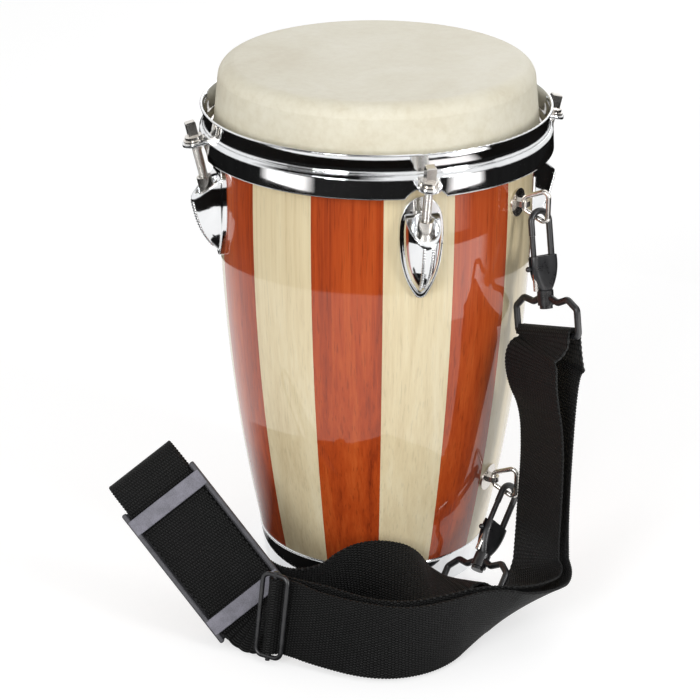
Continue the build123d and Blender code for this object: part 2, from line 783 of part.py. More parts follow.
fold = bail_wire / 2 + strap_wall / 2 + fold_play
upper_bar = bar_frames["upper"]
upper_width = upper_bar.x_dir
near_side = 1 if upper_bar.y_dir.Y < 0 else -1
upper_fold = local_points(
    upper_bar,
    [(-near_side * fold, -1), (-near_side * fold, fold), (near_side * fold, fold), (near_side * fold, -fold)],
    upper_width,
)
far_side = local_points(upper_bar, [(-near_side * fold, -2 * fold), (-near_side * fold, -1)], upper_width)

slider_frame = Plane(
    origin=slider_centre,
    x_dir=slider_along,
    z_dir=Vector(*slider_across).cross(Vector(*slider_along)),
)
slider_width = tuple(-slider_frame.y_dir)
weave_offsets = [
    (0.70 * slider_half_width, -0.8 * weave),
    (0.55 * slider_half_width, -weave),
    (0, 1.4 * weave),
    (-0.62 * slider_half_width, -weave),
    (-1.5 * slider_half_width, -weave),
]
behind_slider = [
    (-1.2 * slider_half_width, -2 * weave),
    (0.4 * slider_half_width, -2.3 * weave),
]


def slider_points(offsets):
    # Control points given along the strap and out of the slider's plane.
    return [(tuple(slider_frame.from_local_coords(Vector(x, 0, z))), slider_width) for x, z in offsets]


slider_route = slider_points(weave_offsets)
webbing("webbing_outer", slider_route + hung(outer_route) + far_side)
webbing("webbing_inner", upper_fold + hung(inner_route) + slider_points(behind_slider))

pad_frame = Plane(
    origin=pad_centre,
    x_dir=Vector(*pad_across),
    z_dir=Vector(*pad_across).cross(Vector(*pad_along)),
)
pad_width_direction = tuple(Vector(*pad_across).normalized())
tongue_lift = 6.0           # the strap's end lies a little above the pad's plane
pad_reaches = [
    (-0.577 * pad_length, tongue_lift),
    (-0.519 * pad_length, tongue_lift / 6),
    (-0.442 * pad_length, 0.0),
    (0.40 * pad_length, 0.0),
    (0.68 * pad_length, 0.0),
]
pad_route = [
    (tuple(pad_frame.from_local_coords(Vector(0, y, z))), pad_width_direction) for y, z in pad_reaches
]
lower_bar = bar_frames["lower"]
lower_far = lower_bar.x_dir * -1
inward = 1 if lower_bar.y_dir.X < 0 else -1
lower_fold = local_points(
    lower_bar,
    [
        (inward * 3 * fold, fold),
        (-inward * fold, fold),
        (-inward * fold, -1.4 * fold),
        (inward * 3 * fold, -1.4 * fold),
    ],
    lower_far,
)
webbing("webbing_pad", pad_route + return_route + lower_fold)

# Slider: wire frame and centre bar
slider_path = FilletPolyline(
    (slider_half_width, slider_half_length),
    (slider_half_width, -slider_half_length),
    (-slider_half_width, -slider_half_length),
    (-slider_half_width, slider_half_length),
    radius=slider_bend,
    close=True,
)
centre_bar = rod_between(
    (0, -slider_half_length - slider_nub, 0), (0, slider_half_length + slider_nub, 0), slider_wire
)
save(slider_frame * (wire_along(slider_path, slider_wire) + centre_bar), "strap_slider")

# Shoulder pad: back plate, two rails and two bars over the webbing
strap_room = strap_wall / 2 + pad_play
back = Pos(0, 0, -strap_room - pad_wall / 2) * extrude(
    RectangleRounded(pad_width, pad_length, pad_rail), pad_wall / 2, both=True
)
pad = back
for side in (-1, 1):
    rail = Pos(side * (pad_width - pad_rail) / 2, 0, -strap_room - pad_wall) * Box(
        pad_rail, pad_length, pad_rail_height, align=(Align.CENTER, Align.CENTER, Align.MIN)
    )
    pad = pad + rail
for end in (-1, 1):
    bar = Pos(0, end * (pad_length / 2 - pad_bar_inset - pad_bar / 2), strap_room) * Box(
        pad_width, pad_bar, pad_bar_wall, align=(Align.CENTER, Align.CENTER, Align.MIN)
    )
    pad = pad + bar
save(pad_frame * pad, "shoulder_pad")
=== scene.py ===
from math import pi, radians

import bpy
import numpy as np
from mathutils import Matrix, Vector


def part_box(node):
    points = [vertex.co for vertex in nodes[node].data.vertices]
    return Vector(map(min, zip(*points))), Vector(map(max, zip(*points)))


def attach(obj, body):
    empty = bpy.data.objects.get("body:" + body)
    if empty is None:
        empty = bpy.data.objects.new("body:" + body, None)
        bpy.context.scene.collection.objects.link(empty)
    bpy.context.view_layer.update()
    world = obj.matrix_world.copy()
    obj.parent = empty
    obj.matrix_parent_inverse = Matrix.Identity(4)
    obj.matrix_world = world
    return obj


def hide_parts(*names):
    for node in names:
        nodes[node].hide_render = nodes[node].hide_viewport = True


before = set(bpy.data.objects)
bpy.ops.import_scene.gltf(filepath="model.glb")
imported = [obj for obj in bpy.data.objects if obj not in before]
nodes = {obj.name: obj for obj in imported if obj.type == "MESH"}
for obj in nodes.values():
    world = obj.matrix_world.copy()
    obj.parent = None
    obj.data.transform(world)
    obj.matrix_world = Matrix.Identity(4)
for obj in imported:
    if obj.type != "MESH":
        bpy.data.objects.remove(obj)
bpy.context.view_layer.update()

mm = 0.001
print("frame loaded,", len(nodes), "nodes")


# camera: fitted to the picture's rims, lugs and rings; place and target are in millimetres
view = {
    "place": (-421.9, -1510.5, 803.3),
    "target": (-16.0, 4.3, 145.2),
    "roll": radians(0.252),
    "lens": 129.34,
    "sensor": 36.0,
}
place = Vector(view["place"]) * mm
forward = (Vector(view["target"]) * mm - place).normalized()
level = forward.cross(Vector((0, 0, 1))).normalized()
upright = level.cross(forward)
right = level * np.cos(view["roll"]) + upright * np.sin(view["roll"])
up = right.cross(forward)
cameraData = bpy.data.cameras.new("pictureCamera")
cameraData.lens = view["lens"]
cameraData.sensor_width = view["sensor"]
cameraData.sensor_fit = "HORIZONTAL"
camera = bpy.data.objects.new("pictureCamera", cameraData)
camera.matrix_world = Matrix((
    (right.x, up.x, -forward.x, place.x),
    (right.y, up.y, -forward.y, place.y),
    (right.z, up.z, -forward.z, place.z),
    (0, 0, 0, 1),
))
bpy.context.collection.objects.link(camera)
bpy.context.scene.camera = camera
print("camera set")


# finishes
white = (1.0, 1.0, 1.0)
noiseSpan = (0.3, 0.7)
bevelSamples = 6


def grey(tone):
    return (tone, tone, tone)


def newFinish(name):
    finish = bpy.data.materials.new(name)
    finish.use_nodes = True
    finish.node_tree.nodes.clear()
    out = finish.node_tree.nodes.new("ShaderNodeOutputMaterial")
    surface = finish.node_tree.nodes.new("ShaderNodeBsdfPrincipled")
    finish.node_tree.links.new(surface.outputs[0], out.inputs[0])
    return finish, surface


def addNode(finish, kind, sockets, **settings):
    node = finish.node_tree.nodes.new(kind)
    for key, value in settings.items():
        setattr(node, key, value)
    joinSockets(finish, node, sockets)
    return node


def joinSockets(finish, node, sockets):
    # a socket is linked, and a plain value is set on the input itself
    for key, value in sockets.items():
        if isinstance(value, bpy.types.NodeSocket):
            finish.node_tree.links.new(value, node.inputs[key])
        else:
            node.inputs[key].default_value = value


def objectPoints(finish, stretch=(1, 1, 1)):
    # Object coordinates times stretch, so a pattern can run along one axis
    spot = addNode(finish, "ShaderNodeTexCoord", {})
    return addNode(finish, "ShaderNodeMapping", {0: spot.outputs["Object"], 3: stretch}).outputs[0]


def noise(finish, points, scale=1.0, detail=2.0, rough=0.6, distort=0.0):
    return addNode(finish, "ShaderNodeTexNoise", {
        "Vector": points, "Scale": scale, "Detail": detail, "Roughness": rough, "Distortion": distort,
    }).outputs[0]


def ramp(finish, factor, stops):
    # the node comes with two stops, and any others are added to them
    node = addNode(finish, "ShaderNodeValToRGB", {0: factor})
    for number, (spot, colour) in enumerate(stops):
        element = node.color_ramp.elements[number] if number < 2 else node.color_ramp.elements.new(spot)
        element.position = spot
        element.color = (*colour, 1.0)
    return node.outputs[0]


def calc(finish, kind, first, second=0.0):
    return addNode(finish, "ShaderNodeMath", {0: first, 1: second}, operation=kind).outputs[0]


def darken(finish, factor, first, second):
    # first times second, as far as factor says
    node = addNode(
        finish, "ShaderNodeMix", {0: factor, 6: first, 7: second}, data_type="RGBA", blend_type="MULTIPLY",
    )
    return node.outputs[2]


def spread(finish, factor, low, high):
    # noise lies mostly inside noiseSpan, which is stretched to run from low to high
    return addNode(finish, "ShaderNodeMapRange", {
        0: factor, 1: noiseSpan[0], 2: noiseSpan[1], 3: low, 4: high,
    }).outputs[0]


def relief(finish, surface, height, depth, strength=1.0):
    bump = addNode(finish, "ShaderNodeBump", {"Height": height, "Distance": depth, "Strength": strength})
    joinSockets(finish, surface, {"Normal": bump.outputs[0]})
    return bump


woods = {
    "palewood": {
        "deep": (0.63, 0.51, 0.31), "mid": (0.72, 0.61, 0.39), "light": (0.78, 0.69, 0.48),
        "pore": 0.90,
    },
    "redwood": {
        "deep": (0.24, 0.030, 0.006), "mid": (0.41, 0.058, 0.009), "light": (0.51, 0.096, 0.018),
        "pore": 0.74,
    },
}
woodGrain = {"streak": 0.55, "fibre": 0.25, "cloud": 0.20, "depth": 0.04 * mm}


def woodFinish(name, tones):
    # long streaks, finer fibres and short dark pores, all drawn out along the stave, under clear lacquer
    finish, surface = newFinish(name)
    streak = noise(finish, objectPoints(finish, (95, 95, 2.2)), detail=5.0, rough=0.62, distort=0.35)
    fibre = noise(finish, objectPoints(finish, (620, 620, 7.0)), detail=3.0)
    pore = noise(finish, objectPoints(finish, (900, 900, 42.0)), rough=0.5)
    cloud = noise(finish, objectPoints(finish, (14, 14, 5.0)), rough=0.5)
    streakShare = calc(finish, "MULTIPLY", streak, woodGrain["streak"])
    fibreShare = calc(finish, "MULTIPLY", fibre, woodGrain["fibre"])
    cloudShare = calc(finish, "MULTIPLY", cloud, woodGrain["cloud"])
    mixed = calc(finish, "ADD", calc(finish, "ADD", streakShare, fibreShare), cloudShare)
    colour = ramp(finish, mixed, [(0.36, tones["deep"]), (0.64, tones["light"]), (0.50, tones["mid"])])
    colour = darken(finish, 1.0, colour, ramp(finish, pore, [(0.33, grey(tones["pore"])), (0.42, white)]))
    joinSockets(finish, surface, {
        "Base Color": colour, "Roughness": spread(finish, fibre, 0.34, 0.46),
        "Coat Weight": 1.0, "Coat Roughness": 0.035, "Coat IOR": 1.5, "Specular IOR Level": 0.12,
    })
    relief(finish, surface, fibre, woodGrain["depth"], strength=0.35)
    return finish


metals = {
    "chrome": {
        "light": (0.84, 0.85, 0.86), "dull": (0.76, 0.77, 0.78), "rough": (0.03, 0.075),
        "grain": 260.0, "depth": 0.008 * mm, "edge": 1.3 * mm,
    },
    "nickel": {
        "light": (0.76, 0.73, 0.69), "dull": (0.62, 0.59, 0.55), "rough": (0.16, 0.30),
        "grain": 900.0, "depth": 0.03 * mm, "edge": 0.0,
    },
}
rodThread = {"pitch": 1.0 * mm, "depth": 0.25 * mm}


def metalFinish(name, tones, threadTop=None):
    # plated metal with faint smears; a rod shows its thread below the height threadTop,
    # and where edge isn't zero, creases are shaded as if rounded by that radius
    finish, surface = newFinish(name)
    smear = noise(finish, objectPoints(finish, (60, 60, 40)), detail=4.0)
    height = noise(finish, objectPoints(finish), tones["grain"], detail=3.0)
    depth = tones["depth"]
    joinSockets(finish, surface, {
        "Base Color": ramp(finish, smear, [(0.3, tones["dull"]), (0.62, tones["light"])]),
        "Metallic": 1.0, "Roughness": spread(finish, smear, *tones["rough"]),
    })
    if threadTop is not None:
        spot = addNode(finish, "ShaderNodeTexCoord", {})
        rise = addNode(finish, "ShaderNodeSeparateXYZ", {0: spot.outputs["Object"]}).outputs[2]
        turn = calc(finish, "SINE", calc(finish, "MULTIPLY", rise, 2 * pi / rodThread["pitch"]))
        height = calc(finish, "MULTIPLY", turn, calc(finish, "LESS_THAN", rise, threadTop))
        depth = rodThread["depth"]
    bump = relief(finish, surface, height, depth, strength=0.6)
    if tones["edge"]:
        soft = addNode(finish, "ShaderNodeBevel", {0: tones["edge"]}, samples=bevelSamples)
        joinSockets(finish, bump, {"Normal": soft.outputs[0]})
    return finish


hide = {
    "deep": (0.64, 0.585, 0.45), "mid": (0.705, 0.665, 0.535), "light": (0.745, 0.71, 0.59),
    "fleck": (0.72, 0.66, 0.54), "fleckShare": 0.25, "vein": (0.80, 0.74, 0.62), "veinShare": 0.10,
    "veinWidth": 0.03, "patchHeight": 0.7, "depth": 0.22 * mm,
}


def rawhideFinish():
    # cream hide: broad cloudy patches, small flecks and a few faint veins
    finish, surface = newFinish("rawhide")
    points = objectPoints(finish)
    patch = noise(finish, points, 16.0, detail=4.0, distort=0.6)
    fleck = noise(finish, points, 190.0, detail=4.0, rough=0.65)
    vein = noise(finish, points, 34.0, rough=0.5, distort=2.2)
    colour = ramp(finish, patch, [(0.30, hide["deep"]), (0.68, hide["light"]), (0.5, hide["mid"])])
    flecks = ramp(finish, fleck, [(0.3, hide["fleck"]), (0.6, white)])
    colour = darken(finish, hide["fleckShare"], colour, flecks)
    line = calc(finish, "ABSOLUTE", calc(finish, "SUBTRACT", vein, 0.5))
    veins = ramp(finish, line, [(0.0, hide["vein"]), (hide["veinWidth"], white)])
    colour = darken(finish, hide["veinShare"], colour, veins)
    joinSockets(finish, surface, {
        "Base Color": colour, "Roughness": spread(finish, fleck, 0.42, 0.58), "Specular IOR Level": 0.4,
        "Sheen Weight": 0.08,
    })
    height = calc(finish, "ADD", calc(finish, "MULTIPLY", patch, hide["patchHeight"]), fleck)
    relief(finish, surface, height, hide["depth"], strength=0.5)
    return finish


weave = {
    "rib": 2.1 * mm, "thread": 1.7 * mm, "depth": 1.2 * mm,
    "ribPower": 0.6, "threadPower": 0.7, "fuzz": 2400.0, "fuzzHeight": 0.25,
    # deep is painted shade for the weave's hollows, and light is painted highlight for its crests
    "deep": (0.0012, 0.0012, 0.0012), "light": (0.0085, 0.0087, 0.0086),
}


def webbingFinish():
    # UV runs in metres: U along the strap and V across it; bumps alternate like a plain weave. The colour
    # follows the bumps' height: painted highlight on their crests and painted shade in their hollows
    finish, surface = newFinish("webbing")
    spot = addNode(finish, "ShaderNodeTexCoord", {})
    cloth = addNode(finish, "ShaderNodeSeparateXYZ", {0: spot.outputs["UV"]})
    ribPhase = calc(finish, "MULTIPLY", cloth.outputs[0], pi / weave["rib"])
    threadPhase = calc(finish, "MULTIPLY", cloth.outputs[1], pi / weave["thread"])
    ribNumber = calc(finish, "FLOOR", calc(finish, "DIVIDE", cloth.outputs[0], weave["rib"]))
    shift = calc(finish, "MULTIPLY", ribNumber, pi / 2)
    rib = calc(finish, "ABSOLUTE", calc(finish, "SINE", ribPhase))
    thread = calc(finish, "ABSOLUTE", calc(finish, "SINE", calc(finish, "ADD", threadPhase, shift)))
    rib = calc(finish, "POWER", rib, weave["ribPower"])
    thread = calc(finish, "POWER", thread, weave["threadPower"])
    fuzz = noise(finish, objectPoints(finish), weave["fuzz"])
    height = calc(finish, "MULTIPLY", rib, thread)
    height = calc(finish, "ADD", height, calc(finish, "MULTIPLY", fuzz, weave["fuzzHeight"]))
    # base colour by bump height: painted shade in the weave's hollows, painted highlight on its crests
    joinSockets(finish, surface, {
        "Base Color": ramp(finish, height, [(0.25, weave["deep"]), (0.95, weave["light"])]),
        "Roughness": spread(finish, fuzz, 0.42, 0.60), "Sheen Weight": 0.01, "Sheen Roughness": 0.45,
        "Specular IOR Level": 0.22,
    })
    relief(finish, surface, height, weave["depth"])
    return finish


blackMetal = {
    "deep": (0.008, 0.008, 0.009), "light": (0.020, 0.020, 0.022),
    "grain": 700.0, "wear": 120.0, "depth": 0.05 * mm,
}


def blackFinish():
    # black plated metal, half gloss, with a slightly orange-peel coat
    finish, surface = newFinish("blackMetal")
    grain = noise(finish, objectPoints(finish), blackMetal["grain"], detail=3.0)
    wear = noise(finish, objectPoints(finish), blackMetal["wear"], detail=4.0)
    joinSockets(finish, surface, {
        "Base Color": ramp(finish, wear, [(0.35, blackMetal["deep"]), (0.7, blackMetal["light"])]),
        "Roughness": spread(finish, wear, 0.24, 0.40), "Specular IOR Level": 0.6,
    })
    relief(finish, surface, grain, blackMetal["depth"], strength=0.5)
    return finish


slates = {
    "slateBar": {"deep": (0.095, 0.094, 0.112), "light": (0.190, 0.185, 0.222)},
    "slateRail": {"deep": (0.026, 0.026, 0.030), "light": (0.075, 0.074, 0.084)},
}
slateGrain = {"grain": 1500.0, "cloud": 130.0, "share": 0.5, "depth": 0.09 * mm}


def slateFinish(name, tones):
    # moulded plastic with a sparkling, grainy skin
    finish, surface = newFinish(name)
    points = objectPoints(finish)
    grain = noise(finish, points, slateGrain["grain"])
    cloud = noise(finish, points, slateGrain["cloud"], detail=4.0)
    grainShare = calc(finish, "MULTIPLY", grain, slateGrain["share"])
    cloudShare = calc(finish, "MULTIPLY", cloud, 1.0 - slateGrain["share"])
    both = calc(finish, "ADD", grainShare, cloudShare)
    joinSockets(finish, surface, {
        "Base Color": ramp(finish, both, [(0.36, tones["deep"]), (0.62, tones["light"])]),
        "Roughness": spread(finish, grain, 0.40, 0.62),
    })
    relief(finish, surface, grain, slateGrain["depth"], strength=0.6)
    return finish


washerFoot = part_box("bolt_washers")[0][2]
finishes = {
    "palewood": woodFinish("palewood", woods["palewood"]),
    "redwood": woodFinish("redwood", woods["redwood"]),
    "chrome": metalFinish("chrome", metals["chrome"]),
    "rope": metalFinish("ropeChrome", metals["chrome"] | {"edge": 0.0}),
    "nickel": metalFinish("nickel", metals["nickel"]),
    "thread": metalFinish("nickelThread", metals["nickel"], washerFoot),
    "rawhide": rawhideFinish(),
    "webbing": webbingFinish(),
    "black": blackFinish(),
    "slateBar": slateFinish("slateBar", slates["slateBar"]),
    "slateRail": slateFinish("slateRail", slates["slateRail"]),
}


def dress(thing, finish):
    thing.data.materials.clear()
    thing.data.materials.append(finish)


# a node takes the first of these that its name starts with; staves are pale and red in turn
nodeFinishes = {
    "drum_skin": "rawhide", "flesh_hoop": "nickel", "tension_hoop": "chrome", "base_band": "chrome",
    "bolt_washers": "nickel", "lug_screws": "nickel", "eyelet_nuts": "nickel", "strap_slider": "black",
    "lug_nut_": "nickel", "lug_": "chrome", "tuning_bolt_": "thread", "strap_eyelet_": "nickel",
    "strap_ring_": "nickel", "hook_spring_": "nickel", "hook_": "black", "webbing_": "webbing",
    "shoulder_pad": "slateRail",
}
for name, node in nodes.items():
    if name.startswith("stave_"):
        dress(node, finishes["palewood" if int(name[-2:]) % 2 else "redwood"])
        continue
    match = next(start for start in nodeFinishes if name.startswith(start))
    dress(node, finishes[nodeFinishes[match]])
print("finishes on the carried-over nodes")


def meshPiece(name, points, faces, finish, body, smooth=True):
    mesh = bpy.data.meshes.new(name)
    mesh.from_pydata(points.tolist(), [], faces)
    mesh.update()
    mesh.polygons.foreach_set("use_smooth", np.full(len(mesh.polygons), smooth))
    piece = bpy.data.objects.new(name, mesh)
    bpy.context.collection.objects.link(piece)
    dress(piece, finish)
    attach(piece, body)
    return piece


def ringQuads(rows, around):
    # quads of a grid that closes round its second parameter
    row = np.arange(rows - 1)[:, None] * around
    first = np.arange(around)[None, :]
    after = (first + 1) % around
    corners = [row + first, row + after, row + around + after, row + around + first]
    return np.stack(corners, axis=-1).reshape(-1, 4).tolist()


def tubeFaces(rows, around):
    # the same quads with a cap at each end
    caps = [list(range(around))[::-1], list(range((rows - 1) * around, rows * around))]
    return ringQuads(rows, around) + caps


# shoulder strap: the route's points in millimetres, each with the direction of the strap's width;
# edgeShare and roundShare are shares of half the width, for the thick selvedge and its rounded rim,
# edgeSwell is a share of half the thickness, and crowding packs the columns towards the edges
strap = {
    "width": 50 * mm, "thick": 1.9 * mm, "rib": 0.26 * mm, "selvedge": 0.50 * mm,
    "edgeShare": 0.055, "edgeSwell": 0.18, "roundShare": 0.045,
    "step": 0.42 * mm, "columns": 26, "crowding": 1.4,
}
outerRoute = [
    ((-107.6, -134.5, 30.2), (0.143, 0.149, 0.978)), ((-106.0, -134.8, 30.0), (0.143, 0.149, 0.978)),
    ((-110.0, -146.0, 32.3), (0.143, 0.149, 0.978)), ((-98.5, -142.1, 30.0), (0.143, 0.149, 0.978)),
    ((-92.8, -147.6, 30.0), (0.143, 0.149, 0.978)), ((-82, -160, 28.5), (0.05, 0.11, 0.99)),
    ((-54, -181, 26.5), (0.08, 0.12, 0.99)), ((-28, -190, 26.5), (0, 0, 1)),
    ((-1, -184, 26.5), (-0.02, -0.10, 0.99)), ((27, -167, 26), (0.08, -0.35, 0.92)),
    ((58, -154, 20), (0.20, -0.72, 0.66)), ((85, -121, 20), (0.26, -0.95, 0.16)),
    ((89, -108, 50), (0.26, -0.97, 0.02)), ((89, -107, 82), (0.26, -0.97, 0)),
    ((90, -106, 115), (0.26, -0.97, 0)), ((91, -103, 148), (0.32, -0.94, 0.10)),
    ((93, -101, 170), (0.38, -0.90, 0.20)), ((91.1, -104.9, 179.6), (0.401, -0.882, 0.248)),
    ((90.9, -102.6, 188.1), (0.401, -0.882, 0.248)),
]
innerRoute = [
    ((90.9, -102.6, 188.1), (0.401, -0.882, 0.248)), ((90.8, -101.1, 193.8), (0.401, -0.882, 0.248)),
    ((81.8, -104.9, 194.6), (0.401, -0.882, 0.248)), ((82.0, -107.5, 185.2), (0.401, -0.882, 0.248)),
    ((73, -109, 178), (0.40, -0.89, 0.20)), ((74, -111, 156), (0.36, -0.92, 0.12)),
    ((82, -110, 132), (0.26, -0.97, 0)), ((83, -111, 100), (0.24, -0.97, 0)),
    ((82, -111, 70), (0.26, -0.97, 0)), ((81, -112, 46), (0.26, -0.97, 0.02)),
    ((77, -122, 25), (0.26, -0.95, 0.16)), ((55, -149, 24), (0.20, -0.72, 0.66)),
    ((23, -163, 27), (0.08, -0.35, 0.92)), ((-4, -177, 27), (-0.02, -0.10, 0.99)),
    ((-28, -182, 26.5), (0, 0.04, 1)), ((-52, -174, 26.5), (0.08, 0.12, 0.99)),
    ((-74, -153, 28.5), (0.05, 0.11, 0.99)), ((-91.6, -142.5, 29.1), (0.143, 0.149, 0.978)),
    ((-101.0, -131.5, 28.8), (0.143, 0.149, 0.978)),
]
padRoute = [
    ((-96.0, -133.0, 27.0), (0.18, 0.15, 0.97)), ((-103.5, -125.5, 23.0), (0.45, 0.10, 0.88)),
    ((-109.0, -119.5, 18.8), (0.75, 0.05, 0.66)), ((-113.8, -114.9, 24.4), (0.820, 0.029, 0.572)),
    ((-158.9, -75.6, 87.1), (0.820, 0.029, 0.572)), ((-174.0, -62.4, 108.1), (0.820, 0.029, 0.572)),
    ((-171, -50, 103), (0.82, 0.03, 0.57)), ((-157, -62, 84), (0.82, 0.03, 0.57)),
    ((-124, -91, 37.5), (0.77, 0.05, 0.63)), ((-101, -102, 25), (0.55, -0.35, 0.75)),
    ((-68, -105, 23.5), (0.16, -0.38, 0.90)), ((-44, -102, 28), (-0.04, 0, 1)),
    ((-22, -106, 29), (-0.06, 0.58, 0.80)), ((-2, -111, 28), (-0.08, 0.88, 0.46)),
    ((15, -113, 21), (-0.26, 0.95, 0.10)), ((26.0, -110.3, 25.8), (-0.436, 0.854, -0.285)),
    ((40.2, -107.5, 12.5), (-0.436, 0.854, -0.285)), ((33.9, -113.4, 4.5), (-0.436, 0.854, -0.285)),
    ((19.7, -116.2, 17.8), (-0.436, 0.854, -0.285)),
]


def splinePoints(name, points):
    # the smooth line that has these points as its control points, read back as an array
    curve = bpy.data.curves.new(name, "CURVE")
    curve.dimensions = "3D"
    line = curve.splines.new("NURBS")
    line.points.add(len(points) - 1)
    line.points.foreach_set("co", np.column_stack([points, np.ones(len(points))]).ravel())
    line.order_u = 3
    line.use_endpoint_u = True
    line.resolution_u = 48
    holder = bpy.data.objects.new(name, curve)
    bpy.context.collection.objects.link(holder)
    bpy.context.view_layer.update()
    mesh = bpy.data.meshes.new_from_object(holder)
    flat = np.empty(3 * len(mesh.vertices))
    mesh.vertices.foreach_get("co", flat)
    bpy.data.objects.remove(holder)
    bpy.data.curves.remove(curve)
    bpy.data.meshes.remove(mesh)
    return flat.reshape(-1, 3)


def unit(rows):
    return rows / np.linalg.norm(rows, axis=1, keepdims=True)


def squareTo(rows, ahead):
    # unit rows with their share along ahead taken out
    return unit(rows - ahead * np.sum(rows * ahead, axis=1, keepdims=True))


def evenly(line, others, step):
    # the line and its companions taken again at even distances along the line
    run = np.concatenate([[0.0], np.cumsum(np.linalg.norm(np.diff(line, axis=0), axis=1))])
    even = np.linspace(0.0, run[-1], int(run[-1] / step) + 1)
    taken = [
        np.stack([np.interp(even, run, column) for column in rows.T], axis=1)
        for rows in (line, *others)
    ]
    return even, taken


def ribbon(name, route):
    # centre line + across * direction of width + lift * normal; ribs and thick selvedges vary the last two
    points = np.array([point for point, _ in route]) * mm
    widths = unit(np.array([width for _, width in route], dtype=float))
    middle = splinePoints(name, points)
    rim = splinePoints(name, points + widths * strap["width"] / 2)
    run, (line, side) = evenly(middle, [rim - middle], strap["step"])
    ahead = unit(np.gradient(line, axis=0))
    side = squareTo(side, ahead)
    face = np.cross(side, ahead)
    rib = np.abs(np.sin(pi * run / weave["rib"]))[:, None]
    columns = strap["columns"]
    across = np.cos(np.linspace(0.0, 2 * pi, 2 * columns, endpoint=False) + pi / (2 * columns))
    across = np.sign(across) * (1 - (1 - np.abs(across)) ** strap["crowding"])
    inset = 1 - np.abs(across)
    faceSign = np.repeat([1.0, -1.0], columns)
    swell = 1 + strap["edgeSwell"] * np.exp(-((inset / strap["edgeShare"]) ** 2))
    roundOff = np.sqrt(1 - np.clip(1 - inset / strap["roundShare"], 0, 1) ** 2)
    half = strap["width"] / 2 - strap["selvedge"] * (1 - rib)
    lift = (strap["thick"] / 2 * swell - strap["rib"] * (1 - rib)) * roundOff * faceSign
    grid = line[:, None] + side[:, None] * (half * across)[..., None] + face[:, None] * lift[..., None]
    rows, around = grid.shape[:2]
    faces = tubeFaces(rows, around)
    piece = meshPiece(name, grid.reshape(-1, 3), faces, finishes["webbing"], "shell")
    corner = np.empty(len(piece.data.loops), dtype=np.int32)
    piece.data.loops.foreach_get("vertex_index", corner)
    flat = np.stack([np.repeat(run, around), np.tile(across * strap["width"] / 2, rows)], axis=1)[corner]
    piece.data.uv_layers.new(name="cloth").data.foreach_set("uv", flat.ravel())
    return piece, line, run[-1]


cordRuns = {"strapOuter": ("webbing_outer", outerRoute), "strapInner": ("webbing_inner", innerRoute)}
for name, (node, route) in cordRuns.items():
    piece, line, length = ribbon(name, route)
    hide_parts(node)
    print(name, "length", round(float(length), 4))
padStrap, _, padLength = ribbon("strapPad", padRoute)
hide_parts("webbing_pad")
print("strapPad length", round(float(padLength), 4))


# shoulder pad: a moulded plate with two side rails and two bars that hold the strap down, in millimetres;
# room is half the gap left for the strap, and plateShort and barShort keep those inside the rails' outline
pad = {
    "centre": (-137.2, -94.5, 57.0), "across": (0.8198, 0.0290, 0.5719), "along": (-0.5205, 0.4538, 0.7232),
    "width": 58.0, "length": 104.0, "room": 1.45, "around": 48, "bendSteps": 7,
    "wall": 2.2, "plateShort": 1.0, "plateRound": 0.9, "rail": 3.2, "railHeight": 7.4, "railRound": 1.3,
    "bar": 11.0, "barWall": 2.4, "barInset": 6.0, "barShort": 0.6, "barRound": 0.7,
}


def roundedBar(name, centre, half, corner, finish):
    # rounded-rectangle profile round the second axis, drawn in by the same radius at both ends
    padAxes = np.array([pad["across"], pad["along"], np.cross(pad["across"], pad["along"])])
    turn = np.linspace(0.0, 2 * pi, pad["around"], endpoint=False) + pi / pad["around"]
    bend = np.linspace(0.0, pi / 2, pad["bendSteps"])
    grow = np.concatenate([np.sin(bend), np.sin(bend[::-1])])[:, None]
    drawnIn = corner * (1 - np.cos(bend))
    y = np.concatenate([drawnIn - half[1], half[1] - drawnIn[::-1]])[:, None]
    x = np.sign(np.cos(turn)) * (half[0] - corner) + corner * grow * np.cos(turn)
    z = np.sign(np.sin(turn)) * (half[2] - corner) + corner * grow * np.sin(turn)
    local = np.stack([x, np.broadcast_to(y, x.shape), z], axis=-1) + np.array(centre)
    points = (np.array(pad["centre"]) + local.reshape(-1, 3) @ padAxes) * mm
    faces = [face[::-1] for face in tubeFaces(len(y), len(turn))]
    return meshPiece(name, points, faces, finish, "pad", smooth=False)


railFoot = -pad["room"] - pad["wall"]
halfWidth = pad["width"] / 2
halfLength = pad["length"] / 2
padPieces = [roundedBar(
    "padPlate", (0, 0, -pad["room"] - pad["wall"] / 2),
    (halfWidth - pad["plateShort"], halfLength - pad["plateShort"], pad["wall"] / 2),
    pad["plateRound"], finishes["slateRail"],
)]
for sideName, sign in (("Left", -1), ("Right", 1)):
    padPieces.append(roundedBar(
        "padRail" + sideName, (sign * (pad["width"] - pad["rail"]) / 2, 0, railFoot + pad["railHeight"] / 2),
        (pad["rail"] / 2, halfLength, pad["railHeight"] / 2), pad["railRound"], finishes["slateRail"],
    ))
for endName, sign in (("Low", -1), ("High", 1)):
    padPieces.append(roundedBar(
        "padBar" + endName,
        (0, sign * (halfLength - pad["barInset"] - pad["bar"] / 2), pad["room"] + pad["barWall"] / 2),
        (halfWidth - pad["barShort"], pad["bar"] / 2, pad["barWall"] / 2),
        pad["barRound"], finishes["slateBar"],
    ))
for piece in padPieces:
    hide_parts("shoulder_pad")
print("shoulder pad made")


# lugs: two roped lines run down each casing from the cup to the point, in millimetres;
# waist is the thinnest share of a rope's radius, and tip and taper shape its narrowed ends
rope = {
    "top": 263.0, "foot": 231.0, "gapTop": 2.9, "gapFoot": 1.5, "rays": 40, "rayStart": 300.0,
    "radius": 1.20, "sink": 0.25, "twist": 2.0, "waist": 0.60, "tip": 0.02, "taper": 6.0,
    "rows": 150, "around": 12,
}


